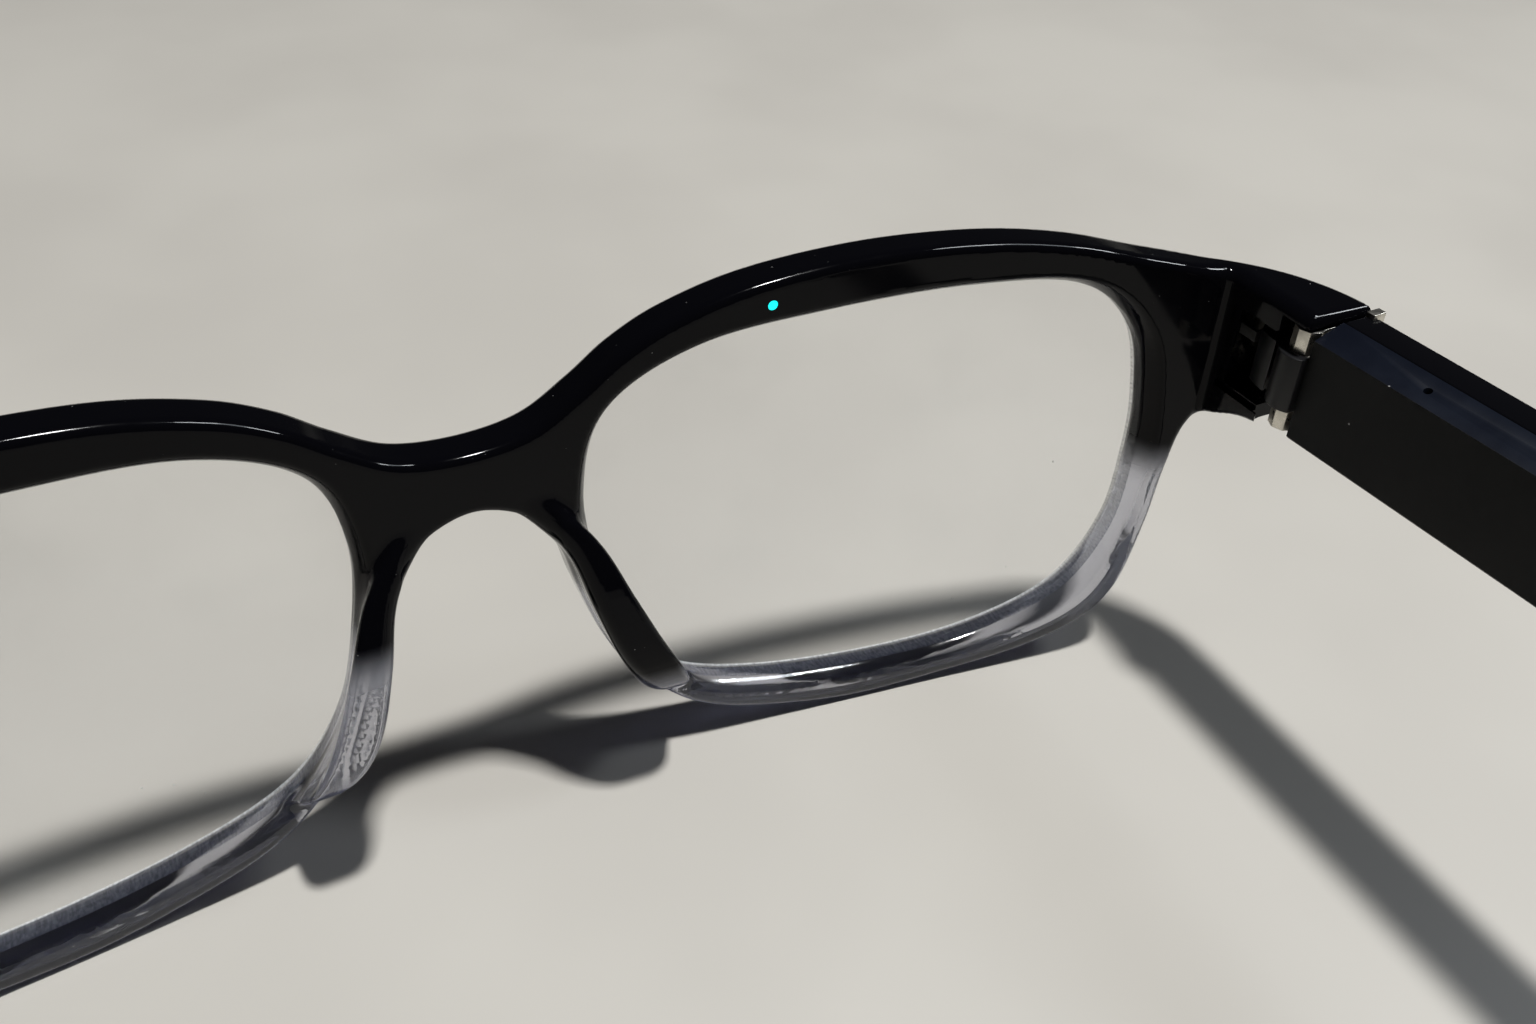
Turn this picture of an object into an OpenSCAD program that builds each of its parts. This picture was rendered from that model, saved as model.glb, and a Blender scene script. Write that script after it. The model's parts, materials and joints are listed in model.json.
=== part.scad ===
// Smart glasses: a full-rim front with two lenses and two folding temples that hold
// the electronics. Units are millimetres.
//
// The pieces are drawn in the wearer's frame: X to the wearer's left, Y to the rear,
// Z up, with the origin midway between the lens centres on the rear face of the front.
// stand() then tilts the whole so that it rests on its lower rims and its ear tips.

/* [Front] */
// Overall width across the end pieces
front_w = 148; // [146:1:150]
// Distance from the middle of the bridge to a lens centre
lens_x = 35; // [34.8:0.1:35.2]
// Thickness of the front
front_t = 4.2; // [4:0.1:4.6]
// Radius of the front's bow, seen from above
bow_r = 335; // [320:5:360]
// Radius of the corner where the front turns into the end piece
corner_r = 15.5; // [14:0.5:17]
// Y of the rear end of the end piece
end_y = 16.15; // [16.1:0.05:16.2]
// X of the inner face of the end piece
end_in_x = 66.5; // [66.4:0.1:66.6]

/* [Lenses] */
// Thickness of a lens
lens_t = 2; // [1.8:0.1:2.2]
// Distance of the lens behind the front's rear face
lens_set = 1.6; // [1.4:0.1:1.8]
// Depth of the groove that holds the lens
groove = 0.8; // [0.6:0.1:1]

/* [Hinge] */
// X of the hinge axis
pin_x = 68; // [67.9:0.1:68.1]
// Y of the hinge axis
pin_y = 15.05; // [15:0.05:15.1]
// Radius of the hinge pin
pin_r = 0.6; // [0.5:0.05:0.6]
// Radial clearance between pin and barrel
pin_gap = 0.05; // [0.03:0.01:0.08]
// Outer radius of a lug
lug_r = 1.3; // [1.2:0.05:1.35]

/* [Temples] */
// Length of the straight housing
housing_len = 88; // [86:1:90]
// Thickness of the temple from inner to outer face
temple_t = 7; // [6.8:0.1:7.2]
// Height of the lower edge of the temple above the lens centre
temple_z0 = 7.9; // [7.8:0.1:8]
// Height of the top of the temple above the lens centre
temple_z1 = 18.6; // [18.5:0.1:18.7]
// Wall thickness of housing and cover
wall = 1; // [0.9:0.1:1.1]
// Outward splay of each temple in degrees
splay = 2.2; // [2:0.1:2.4]

/* [Ear tips] */
// Radius of the bend over the ear, on the centre line
bend_r = 24; // [22:1:26]
// Angle of the bend in degrees
bend_angle = 60; // [56:1:62]
// Length of the straight tail after the bend
tail_len = 36; // [34:1:38]
// Half height of the tip at its end
tip_end_r = 3.2; // [3:0.1:3.5]

/* [Controls] */
// Travel of the action button
press_travel = 0.4; // [0.3:0.05:0.4]
// Clearance round each button
button_gap = 0.15; // [0.15:0.01:0.2]

/* [Hidden] */
$fn = 48;
RIGHT = -1;
LEFT = 1;
BLACK = [0.03, 0.03, 0.035];
CHARCOAL = [0.13, 0.13, 0.14];
NICKEL = [0.72, 0.69, 0.62];
GOLD = [0.83, 0.68, 0.35];
GREEN = [0.05, 0.25, 0.14];
COPPER = [0.62, 0.4, 0.16];

// Hinge stack, from the bottom lug to the top lug
lug_h = 2.1;
lug_low_z = 8.3;
lug_high_z = 15.9;
stack_gap = 0.15;
barrel_z0 = lug_low_z + lug_h + stack_gap;
barrel_h = lug_high_z - stack_gap - barrel_z0;
sleeve_r = 2.1;
relief_r = 2.4;
barrel_r = 1.2;
lip_z = 18.4;
slot_gap = 0.1;
part_gap = 0.02;

// The front's outer bow and the arc that turns it into the end piece
outer_r = bow_r + front_t;
corner_x = front_w / 2 - corner_r;
corner_y = bow_r - sqrt(pow(outer_r - corner_r, 2) - pow(corner_x, 2));
seam_x = corner_x * outer_r / (outer_r - corner_r);
bow_fn = 720;

// A temple's own frame starts at its inner front corner
temple_x = 67;
temple_y = 16.6;
plate_t = 0.6;
temple_h = temple_z1 - temple_z0;
temple_mid_z = (temple_z0 + temple_z1) / 2;
band_w = 3;
band_drop = 1;
cavity_end = housing_len - 2;

// The ear tip's end in the temple's frame, then the tilt that lets it touch the ground
tip_s = housing_len + bend_r * sin(bend_angle) + tail_len * cos(bend_angle);
tip_z = temple_mid_z - bend_r * (1 - cos(bend_angle)) - tail_len * sin(bend_angle);
tip_y = temple_y + tip_s * cos(splay);
rim_low = [-2.4, -23.02];
reach = norm([tip_y - rim_low[0], tip_z - rim_low[1]]);
stand_tilt = asin(tip_end_r / reach) - atan2(tip_z - rim_low[1], tip_y - rim_low[0]);
lift = -(rim_low[0] * sin(stand_tilt) + rim_low[1] * cos(stand_tilt));
front_most = -5.35;
rear_most = tip_y * cos(stand_tilt) - tip_z * sin(stand_tilt) + tip_end_r;
mid_y = (front_most + rear_most) / 2;

// Half outline of the front, X and Z: the arch, nasal side, lower rim and temporal side
lower_half = [[0, 9], [3.4, 7.9], [5.7, 5.6], [7.2, 2.9], [8.4, -1.6], [10.2, -7],
    [12.6, -11.8], [15.4, -15.6], [19.3, -18.9], [25, -21.2], [34.5, -23],
    [45, -22.6], [53, -21.5], [58.9, -19.2], [62.3, -15.2], [64.1, -8], [65, -1],
    [66.2, 3.6], [69.5, 6.2], [75, 7.2]];
// Its upper edge from the end piece to the middle of the bridge
upper_half = [[75, 19.2], [68, 19.5], [64.5, 19.9], [59, 21.3], [52, 23.3], [44, 24.6],
    [34, 25], [24, 24.2], [17, 22.4], [12.5, 20.2], [9, 17.6], [5, 15.2], [0, 14.5]];
// Outline of a lens opening about the lens centre, temporal side first
eye_points = [[26.9, -1], [26.6, 6], [24.5, 13.6], [18.5, 19], [8, 20.4], [-5, 20.2],
    [-16, 19.1], [-23.4, 15.2], [-25.6, 8], [-24.8, 0], [-22.4, -8.5], [-17.2, -15],
    [-8, -18.4], [4, -19.7], [14, -18.8], [22, -15.3], [26, -8.6]];
// Route of the flex circuit through the upper rim, X and Z
flex_points = [[0, 12.2], [6, 13.3], [11, 16.8], [16, 20], [24.8, 22.3], [34, 23.1],
    [45, 22.7], [54, 20.8], [60.5, 17.6], [66.4, 14.5]];
// Lower edge of the end piece, Y and Z
end_edge = [[-8, -4], [2, 0.5], [6.4, 3.8], [7.6, 5.2], [9.8, 6.6], [12.3, 7.5],
    [16.3, 7.95]];

light_x = -24.8;
light_z = 22.3;
light_r = 0.42;
flex_set = 2;
flex_t = 0.25;
flex_w = 1.2;
channel_gap = 0.15;
outline_steps = 3;

// One point of a smooth curve through p1 and p2, with p0 and p3 as neighbours
function curve(p0, p1, p2, p3, t) = 0.5 * (2 * p1 + (p2 - p0) * t
    + (2 * p0 - 5 * p1 + 4 * p2 - p3) * t * t
    + (3 * p1 - p0 - 3 * p2 + p3) * t * t * t);
function around(p, i) = p[(i + len(p)) % len(p)];
function closed_curve(p, steps) = [for (i = [0 : len(p) - 1], k = [0 : steps - 1])
    curve(around(p, i - 1), p[i], around(p, i + 1), around(p, i + 2), k / steps)];
function clamped(p, i) = p[max(0, min(len(p) - 1, i))];
function open_curve(p, steps) = concat([for (i = [0 : len(p) - 2], k = [0 : steps - 1])
    curve(clamped(p, i - 1), p[i], p[i + 1], clamped(p, i + 2), k / steps)],
    [p[len(p) - 1]]);
function mirrored(p) = [for (i = [len(p) - 1 : -1 : 0]) [-p[i][0], p[i][1]]];
function sides(v) = [v[1], -v[0]] / norm(v);
function widened(p, d) = [for (i = [0 : len(p) - 1])
    p[i] + d * sides(around(p, i + 1) - around(p, i - 1))];
function beside(p, d) = [for (i = [0 : len(p) - 1])
    p[i] + d * sides(clamped(p, i + 1) - clamped(p, i - 1))];
function reversed(p) = [for (i = [len(p) - 1 : -1 : 0]) p[i]];
function band_loop(p, w) = concat(beside(p, w / 2), reversed(beside(p, -w / 2)));

// Both halves of the front's outline, counter-clockwise
half_outline = concat(open_curve(lower_half, outline_steps),
    open_curve(upper_half, outline_steps));
front_outline = concat(half_outline, mirrored(half_outline));
flex_half = open_curve(flex_points, outline_steps);
flex_line = concat(mirrored(flex_half), [for (i = [1 : len(flex_half) - 1]) flex_half[i]]);

// Placement helpers
module stand() translate([0, -mid_y, lift]) rotate([stand_tilt, 0, 0]) children();
module on_side(side) mirror([side < 0 ? 1 : 0, 0, 0]) children();
module on_temple(side) on_side(side) translate([temple_x, temple_y, 0])
    rotate([0, 0, -splay]) children();
module at_pin(side) on_side(side) translate([pin_x, pin_y, 0]) children();
module block(low, high) translate(low) cube(high - low);
// A flat XZ shape turned into a prism that runs along Y
module along_y(y0, y1) translate([0, y1, 0]) rotate([90, 0, 0])
    linear_extrude(y1 - y0) children();
// A flat YZ shape turned into a prism that runs along X
module along_x(x0, x1) translate([x0, 0, 0]) rotate([90, 0, 90])
    linear_extrude(x1 - x0) children();
module bow(r) translate([0, bow_r, -40]) cylinder(r = r, h = 80, $fn = bow_fn);
// A layer of the front between two distances forward of its rear face
module layer(near, far) difference() {
    bow(bow_r + far);
    bow(bow_r + near);
}
module eye(side, grow) translate([side * lens_x, 0])
    mirror([side < 0 ? 1 : 0, 0]) polygon(widened(closed_curve(eye_points, 3), grow));

// Stepped route of the hinge cable from the end of the flex to the pocket
module cable_route(grow, rise) {
    block([66.05 - grow / 2, 4.62 - grow, 14 - rise], [66.3 + grow, 5.6 + grow, 15 + rise]);
    block([66.05 - grow / 2, 5.35 - grow / 2, 14 - rise], [67.6 + grow, 5.6 + grow, 15 + rise]);
    block([67.35 - grow / 2, 5.35 - grow / 2, 14 - rise], [67.6 + grow, 10.2 - grow, 15 + rise]);
}

// Front
module front_blank() difference() {
    intersection() {
        along_y(-6, end_y) polygon(front_outline);
        union() {
            intersection() {
                bow(outer_r);
                block([-seam_x, -6, -30], [seam_x, end_y, 30]);
            }
            for (side = [RIGHT, LEFT]) on_side(side) intersection() {
                translate([corner_x, corner_y, -30])
                    cylinder(r = corner_r, h = 60, $fn = 180);
                block([seam_x - 0.01, -6, -30], [front_w / 2 + 1, end_y, 30]);
            }
        }
    }
    intersection() {
        bow(bow_r);
        block([-end_in_x, -6, -30], [end_in_x, end_y + 1, 30]);
    }
    for (side = [RIGHT, LEFT]) on_side(side) along_x(end_in_x, front_w / 2 + 1)
        polygon(concat([[20, -30], [-8, -30]], open_curve(end_edge, 2), [[20, 7.95]]));
}
module nose_pad(side) on_side(side) hull() {
    translate([8.9, 1, 2]) sphere(r = 0.9, $fn = 24);
    translate([10.6, 3.2, -3]) scale([1.5, 1.5, 2.2]) sphere(r = 1.1, $fn = 24);
    translate([12.3, 3, -8]) scale([1.3, 1.5, 2.2]) sphere(r = 1.1, $fn = 24);
    translate([15.3, 0.2, -14.6]) sphere(r = 0.8, $fn = 24);
    translate([9.6, -1, -2.5]) sphere(r = 0.7, $fn = 24);
    translate([11.9, -1, -8]) sphere(r = 0.7, $fn = 24);
}
// Pocket for the hinge: a shallow step, the cavity behind it and the lug slots. The relief
// lets the temple's inner front corner turn under the lip that covers the top lug.
pocket_out_x = 71.6;
module hinge_pocket() {
    block([end_in_x - 1, 7.7, 8.5], [end_in_x + 0.5, end_y + 1, 16.9]);
    block([end_in_x, 8.3, 9], [pocket_out_x, end_y + 1, 16.4]);
    block([pin_x - lug_r, 12.6, 0],
        [pocket_out_x, end_y + 1, lug_high_z + lug_h + slot_gap]);
    translate([pin_x, pin_y, 0]) cylinder(r = relief_r, h = lip_z);
}
bracket_in_x = 70.6;
bracket_out_x = 71.4;
bracket_y0 = 8.6;
screw_y = 10.3;
screw_z = [10.3, 14.5];
screw_r = 0.5;
screw_len = 1.4;
head_r = 1;
head_h = 0.6;
module screw_places() for (z = screw_z) translate([bracket_in_x, screw_y, z])
    rotate([0, 90, 0]) children();
module flex_band(grow, near, far) intersection() {
    along_y(-8, end_y) polygon(band_loop(flex_line, flex_w + 2 * grow));
    layer(near, far);
}
module front_frame() color(BLACK) stand() difference() {
    union() {
        front_blank();
        for (side = [RIGHT, LEFT]) nose_pad(side);
    }
    for (side = [RIGHT, LEFT]) {
        along_y(-8, 12) eye(side, 0);
        intersection() {
            along_y(-8, 12) eye(side, groove);
            layer(lens_set, lens_set + lens_t);
        }
        on_side(side) hinge_pocket();
        on_side(side) screw_places() cylinder(r = screw_r, h = screw_len + 0.1);
        on_side(side) cable_route(0.35, 0.3);
    }
    flex_band(channel_gap, flex_set - channel_gap, flex_set + flex_t + channel_gap);
    translate([light_x, 1.5, light_z]) rotate([90, 0, 0]) cylinder(r = light_r, h = 3);
    block([light_x - 0.6, -1.45, light_z - 0.45], [light_x + 0.6, -0.75, light_z + 0.45]);
}
module lens(side) color([0.85, 0.9, 0.92, 0.3]) stand() intersection() {
    along_y(-8, 12) eye(side, groove);
    layer(lens_set, lens_set + lens_t);
}
light_bow = bow_r - sqrt(bow_r * bow_r - light_x * light_x);
module status_light_pipe() color([0.2, 0.9, 0.9]) stand()
    translate([light_x, light_bow - 0.02, light_z]) rotate([90, 0, 0])
        cylinder(r = light_r, h = light_bow + 0.7);
module status_led() color("white") stand()
    block([light_x - 0.5, -1.05, light_z - 0.35], [light_x + 0.5, -0.75, light_z + 0.35]);
module front_flex() color(COPPER) stand() flex_band(0, flex_set, flex_set + flex_t);

// Hinge, front half
module lug(z) translate([pin_x, pin_y, z]) difference() {
    union() {
        cylinder(r = lug_r, h = lug_h, $fn = 8);
        block([0, -1.1, 0], [2.7, 1, lug_h]);
    }
    translate([0, 0, -1]) cylinder(r = pin_r, h = lug_h + 2);
}
module hinge_bracket(side) color(NICKEL) stand() on_side(side) difference() {
    union() {
        lug(lug_low_z);
        lug(lug_high_z);
        block([bracket_in_x, 13.95, lug_low_z], [bracket_out_x, 16.05, lug_high_z + lug_h]);
        block([bracket_in_x, bracket_y0, 9.1], [bracket_out_x, 13.96, 16.1]);
    }
    screw_places() translate([0, 0, -1]) cylinder(r = screw_r, h = 4);
}
module bracket_screws(side) color(NICKEL) stand() on_side(side) screw_places() {
    cylinder(r = screw_r, h = screw_len);
    translate([0, 0, -head_h]) difference() {
        cylinder(r = head_r, h = head_h);
        translate([0, 0, -0.1]) cylinder(r = 0.45, h = 0.4, $fn = 6);
    }
}
module hinge_pin(side) color([0.8, 0.8, 0.82]) stand() at_pin(side) {
    translate([0, 0, lug_low_z]) cylinder(r = pin_r, h = lug_high_z + lug_h - lug_low_z);
}
// Curved shroud in the pocket, round the turning knuckle
shroud_r = 5;
shroud_y = 10.6;
shroud_out_x = 69.8;
module hinge_shroud(side) color(BLACK) stand() intersection() {
    at_pin(side) translate([0, 0, barrel_z0 + slot_gap]) difference() {
        cylinder(r = shroud_r, h = barrel_h - 2 * slot_gap);
        translate([0, 0, -1]) cylinder(r = relief_r, h = barrel_h + 2);
        block([0.8, -shroud_r - 1, 2.2], [2.2, 0, 4.6]);
    }
    on_side(side) union() {
        translate([shroud_r + end_in_x + 0.4, pin_y - 2.2, 8]) cylinder(r = shroud_r, h = 10);
        block([end_in_x + 0.4, pin_y - 2.2, 8], [shroud_out_x, pin_y - 1.2, 18]);
    }
    on_side(side) block([end_in_x, shroud_y, 8], [shroud_out_x, pin_y - 1.2, 18]);
}
module hinge_cable(side) color(BLACK) stand() on_side(side) {
    cable_route(0, 0);
    block([67.35, 9.95, 14], [69.6, 10.2, 15]);
}

// Hinge, temple half
// The plate sits inside the housing's walls; its tab fills the outer top corner.
tab_low = [temple_t - 1.3, -0.1, temple_z1 - 2];
tab_high = [temple_t + 0.1, 0.75, temple_z1 + 0.35];
neck_in = 0.1;
module hinge_plate(side) color(NICKEL) stand() {
    difference() {
        union() {
            on_temple(side) block([wall + 0.05, 0, temple_z0 + wall],
                [temple_t - wall, plate_t, temple_z1 - 2]);
            on_temple(side) block([band_w, 0, temple_mid_z],
                [temple_t - wall, plate_t, temple_z1 - wall - 0.4]);
            on_temple(side) block(tab_low, tab_high);
            at_pin(side) translate([0, 0, barrel_z0]) {
                cylinder(r = barrel_r, h = barrel_h);
                block([neck_in, 0, 0], [barrel_r, 2, barrel_h]);
            }
        }
        at_pin(side) cylinder(r = pin_r + pin_gap, h = 30);
    }
}
module hinge_knuckle(side) color(BLACK) stand() at_pin(side)
    translate([0, 0, barrel_z0]) difference() {
        cylinder(r = sleeve_r, h = barrel_h);
        translate([0, 0, -1]) cylinder(r = barrel_r + part_gap, h = barrel_h + 2);
        block([0, 0, -1], [barrel_r + part_gap, 3, barrel_h + 1]);
        block([-3, temple_y - pin_y - 0.15, -1], [3, 3, barrel_h + 1]);
    }

// Temple outer housing: a channel that is open towards the head
module housing_section() polygon([[band_w + 0.15, temple_z1], [temple_t - 0.8, temple_z1],
    [temple_t, temple_z1 - 0.8], [temple_t, temple_z0 + 0.8], [temple_t - 0.8, temple_z0],
    [wall + 0.15, temple_z0], [wall + 0.15, temple_z0 + wall],
    [temple_t - wall, temple_z0 + wall], [temple_t - wall, temple_z1 - wall - 0.4],
    [band_w + 0.15, temple_z1 - wall - 0.4]]);
// Inner cover: the flat side wall, bevelled into the top band
module cover_section() polygon([[0, temple_z0 + 0.3], [0.3, temple_z0], [wall, temple_z0],
    [wall, temple_z1 - 2], [band_w, temple_z1 - wall - 0.4], [band_w, temple_z1],
    [0, temple_z1 - band_drop]]);
module seal_section() {
    polygon([[band_w, temple_z1 - wall - 0.4], [band_w + 0.15, temple_z1 - wall - 0.4],
        [band_w + 0.15, temple_z1 - 0.3], [band_w, temple_z1 - 0.3]]);
    polygon([[wall, temple_z0 + 0.3], [wall + 0.15, temple_z0 + 0.3],
        [wall + 0.15, temple_z0 + wall], [wall, temple_z0 + wall]]);
}
module run(s0, s1) translate([0, s1, 0]) rotate([90, 0, 0])
    linear_extrude(s1 - s0) children();
mic_s = 10.2;
mic_x = 1.5;
speaker_s = [75, 82];
action_s = 34;
action_len = 7;
rocker_s = 20;
rocker_len = 13;
button_w = 2.8;
button_x = 3.6;
module stadium(len, w) hull() for (d = [-1, 1]) translate([0, d * (len - w) / 2])
    circle(r = w / 2, $fn = 32);
// Slots in the underside for sound and, on the right, for the two controls
module underside_slot(s, len, w) translate([button_x, s, temple_z0 - 1])
    block([-w / 2, -len / 2, 0], [w / 2, len / 2, wall + 1.5]);
module temple_housing(side) color(BLACK) stand() on_temple(side) difference() {
    union() {
        run(0, housing_len) housing_section();
        run(cavity_end, housing_len) polygon([[wall + 0.15, temple_z0],
            [temple_t - 0.8, temple_z0], [temple_t - 0.8, temple_z1 - 0.8],
            [band_w + 0.15, temple_z1 - 0.8], [band_w + 0.15, temple_z1 - 2],
            [wall + 0.15, temple_z1 - 2.4]]);
    }
    for (s = speaker_s) underside_slot(s, 5, 1.6);
    if (side == RIGHT) {
        underside_slot(action_s, action_len + 2 * button_gap, button_w + 2 * button_gap);
        underside_slot(rocker_s, rocker_len + 2 * button_gap, button_w + 2 * button_gap);
    }
    translate([3.2, cavity_end - 1, temple_mid_z - 1]) cube([1.2, 4, 2]);
    block(tab_low - [0.05, 1, 0.05], tab_high + [1, 0.05, 1]);
}
module temple_cover(side) color(CHARCOAL) stand() on_temple(side) difference() {
    run(0, housing_len) cover_section();
    translate([mic_x, mic_s, temple_z1 - 3]) cylinder(r = 0.35, h = 4);
}
module temple_seal(side) color("dimgray") stand() on_temple(side)
    run(0, housing_len) seal_section();

// Electronics
module board(s0, s1, x) block([x, s0, temple_z0 + 1.8], [x + 0.8, s1, temple_z1 - 2.4]);
module chips(list, x, t) for (c = list)
    block([x, c[0], c[2]], [x + t, c[1], c[3]]);
module main_board() color(GREEN) stand() on_temple(RIGHT) {
    board(3.5, 42, 4.2);
    chips([[5, 10, 10.4, 15.4], [12, 19, 11.4, 15.8], [22, 26, 12, 15.6], [38, 40.5, 11, 14.6]],
        5, 0.7);
    chips([[13.5, 18, 12.2, 15.6], [25, 29, 12.2, 15.6]], 3.4, 0.81);
}
module link_board() color(GREEN) stand() on_temple(LEFT) {
    board(3.5, 24, 4.2);
    chips([[5, 9, 10.4, 14.4], [12, 18, 11.4, 15.4]], 5, 0.7);
}
module pouch(s0, s1) block([1.5, s0, temple_z0 + 1.4], [5.4, s1, temple_z1 - 2.6]);
module battery_right() color("silver") stand() on_temple(RIGHT) {
    pouch(44, 70);
    block([2.6, 42.6, 11], [2.9, 44.01, 12.4]);
    block([2.6, 42.6, 13.6], [2.9, 44.01, 15]);
}
module battery_left() color("silver") stand() on_temple(LEFT) {
    pouch(27, 69);
    block([2.6, 25.6, 11], [2.9, 27.01, 12.4]);
    block([2.6, 25.6, 13.6], [2.9, 27.01, 15]);
}
module antenna() color(COPPER) stand() on_temple(RIGHT)
    block([temple_t - wall - 0.2, 2, 10.2], [temple_t - wall, 4.6, 16.2]);
module touch_sensor() color(COPPER) stand() on_temple(RIGHT)
    block([temple_t - wall - 0.15, 44, 9.8], [temple_t - wall, 70, 16.4]);
module microphone(side) color(GOLD) stand() on_temple(side)
    block([wall, mic_s - 1.5, 14.6], [wall + 1.1, mic_s + 1.5, 16.1]);
module microphone_mesh(side) color("dimgray") stand() on_temple(side)
    translate([mic_x, mic_s, temple_z1 - 1.4]) cylinder(r = 0.34, h = 0.2);
module speaker(side, s) color([0.25, 0.25, 0.27]) stand() on_temple(side)
    translate([1.7, s, temple_mid_z]) rotate([0, 90, 0]) {
        cylinder(r = 3, h = 2.4);
        translate([0, 0, 2.39]) cylinder(r = 2.2, h = 1);
    }
module speaker_mesh(side) color("dimgray") stand() on_temple(side) for (s = speaker_s)
    block([button_x - 0.8, s - 2.5, temple_z0 + 0.4], [button_x + 0.8, s + 2.5, temple_z0 + 0.6]);

// Ear tips: the side view of the bend and tail, cut to a tapering width
function bend_point(a, off) = [housing_len + (bend_r + off) * sin(a),
    temple_mid_z - bend_r + (bend_r + off) * cos(a)];
function half_h(t) = temple_h / 2 + (tip_end_r - temple_h / 2) * (0.5 - 0.5 * cos(180 * t));
tail_start = bend_point(bend_angle, 0);
tail_dir = [cos(bend_angle), -sin(bend_angle)];
tail_up = [sin(bend_angle), cos(bend_angle)];
bend_share = 0.5;
bend_steps = 12;
end_steps = 10;
function bend_edge(sign) = [for (i = [0 : bend_steps])
    bend_point(bend_angle * i / bend_steps, sign * half_h(bend_share * i / bend_steps))];
function tail_edge(sign) = [for (i = [1 : 6]) let (t = i / 6)
    tail_start + tail_dir * tail_len * t
    + tail_up * sign * half_h(bend_share + (1 - bend_share) * t)];
tail_end = tail_start + tail_dir * tail_len;
function tip_round() = [for (i = [1 : end_steps - 1]) let (a = 90 - 180 * i / end_steps)
    tail_end + tip_end_r * (tail_dir * cos(a) + tail_up * sin(a))];
module tip_side() polygon(concat(bend_edge(1), tail_edge(1), tip_round(),
    reversed(tail_edge(-1)), reversed(bend_edge(-1))));
tip_t = 5;
module tip_plan() polygon([[0, housing_len], [temple_t, housing_len],
    [temple_t - 0.6, housing_len + 14], [tip_t + 0.6, housing_len + 60],
    [0.6, housing_len + 60], [0.3, housing_len + 14]]);
core_t = 1.2;
module core_side(grow) polygon(band_loop(concat([[cavity_end - 1, temple_mid_z]],
    [for (i = [0 : bend_steps]) bend_point(bend_angle * i / bend_steps, 0)],
    [tail_end - tail_dir * 6]), 2 + 2 * grow));
module tip_core(side) color("silver") stand() on_temple(side)
    along_x(3.2, 3.2 + core_t) core_side(0);
contact_s = housing_len + 4;
module contact_places() for (i = [0 : 3]) translate([0, contact_s + 2.6 * i, temple_mid_z - 0.5])
    rotate([0, 90, 0]) children();
module magnet_places() for (s = [-2.3, 10.1]) translate([0.5, contact_s + s, temple_mid_z - 0.5])
    rotate([0, 90, 0]) children();
module ear_tip(side) color(BLACK) stand() on_temple(side) difference() {
    intersection() {
        along_x(0, temple_t) tip_side();
        translate([0, 0, -60]) linear_extrude(100) tip_plan();
    }
    along_x(3.2, 3.2 + core_t) core_side(0);
    if (side == RIGHT) {
        translate([-0.1, 0, 0]) contact_places() cylinder(r = 0.7, h = 2.1);
        translate([0.5, 0, 0]) magnet_places() cylinder(r = 1.4, h = 1.2);
    }
}
module charging_contacts() color(GOLD) stand() on_temple(RIGHT)
    translate([0.35, 0, 0]) contact_places() cylinder(r = 0.7, h = 1.65);
module charging_magnets() color("silver") stand() on_temple(RIGHT)
    translate([0.5, 0, 0]) magnet_places() cylinder(r = 1.4, h = 1.2);

// Controls under the right temple
button_h = 1.5;
button_z = temple_z0 - 0.5;
module action_button() color(BLACK) stand() on_temple(RIGHT)
    translate([button_x, action_s, button_z]) {
        linear_extrude(button_h) stadium(action_len, button_w);
        translate([0, 0, button_h - 0.01]) cylinder(r = 0.5, h = 0.5);
    }
module volume_rocker() color(BLACK) stand() on_temple(RIGHT)
    translate([button_x, rocker_s, button_z]) difference() {
        union() {
            linear_extrude(button_h) stadium(rocker_len, button_w);
            translate([-0.6, -1, button_h - 0.01]) cube([1.2, 2, 1]);
        }
        translate([-2, 0, button_h + 0.2]) rotate([0, 90, 0])
            cylinder(r = 0.35 + pin_gap, h = 4);
    }
module rocker_pin() color("silver") stand() on_temple(RIGHT) {
    translate([button_x, rocker_s, button_z + button_h + 0.2]) rotate([0, 90, 0])
        translate([0, 0, -1.3]) cylinder(r = 0.35, h = 2.6);
    for (d = [-1.7, 0.9]) translate([button_x + d, rocker_s - 0.7, temple_z0 + wall])
        cube([0.8, 1.4, 0.75]);
}
module switch_board() color(GREEN) stand() on_temple(RIGHT) difference() {
    union() {
        block([1.6, 12, 10.4], [3.3, 40, 10.8]);
        block([3.29, rocker_s + 3, 10.4], [3.6, 40, 10.8]);
        for (s = [rocker_s - 4, rocker_s + 4, action_s])
            translate([2.7, s, 10.15]) cylinder(r = 0.9, h = 0.26);
    }
    block([2.2, rocker_s - 1.6, 10], [4, rocker_s + 1.6, 11]);
}

front_frame();
lens(RIGHT);  // lens_right
lens(LEFT);  // lens_left
status_light_pipe();
status_led();
front_flex();
hinge_bracket(RIGHT);  // hinge_bracket_right
hinge_bracket(LEFT);  // hinge_bracket_left
bracket_screws(RIGHT);  // bracket_screws_right
bracket_screws(LEFT);  // bracket_screws_left
hinge_pin(RIGHT);  // hinge_pin_right
hinge_pin(LEFT);  // hinge_pin_left
hinge_shroud(RIGHT);  // hinge_shroud_right
hinge_shroud(LEFT);  // hinge_shroud_left
hinge_cable(RIGHT);  // hinge_cable_right
hinge_cable(LEFT);  // hinge_cable_left
temple_housing(RIGHT);  // temple_housing_right
temple_cover(RIGHT);  // temple_cover_right
temple_seal(RIGHT);  // temple_seal_right
hinge_plate(RIGHT);  // hinge_plate_right
hinge_knuckle(RIGHT);  // hinge_knuckle_right
main_board();
battery_right();
antenna();
touch_sensor();
microphone(RIGHT);  // microphone_right
microphone_mesh(RIGHT);  // microphone_mesh_right
speaker(RIGHT, speaker_s[0]);  // speaker_front_right
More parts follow.
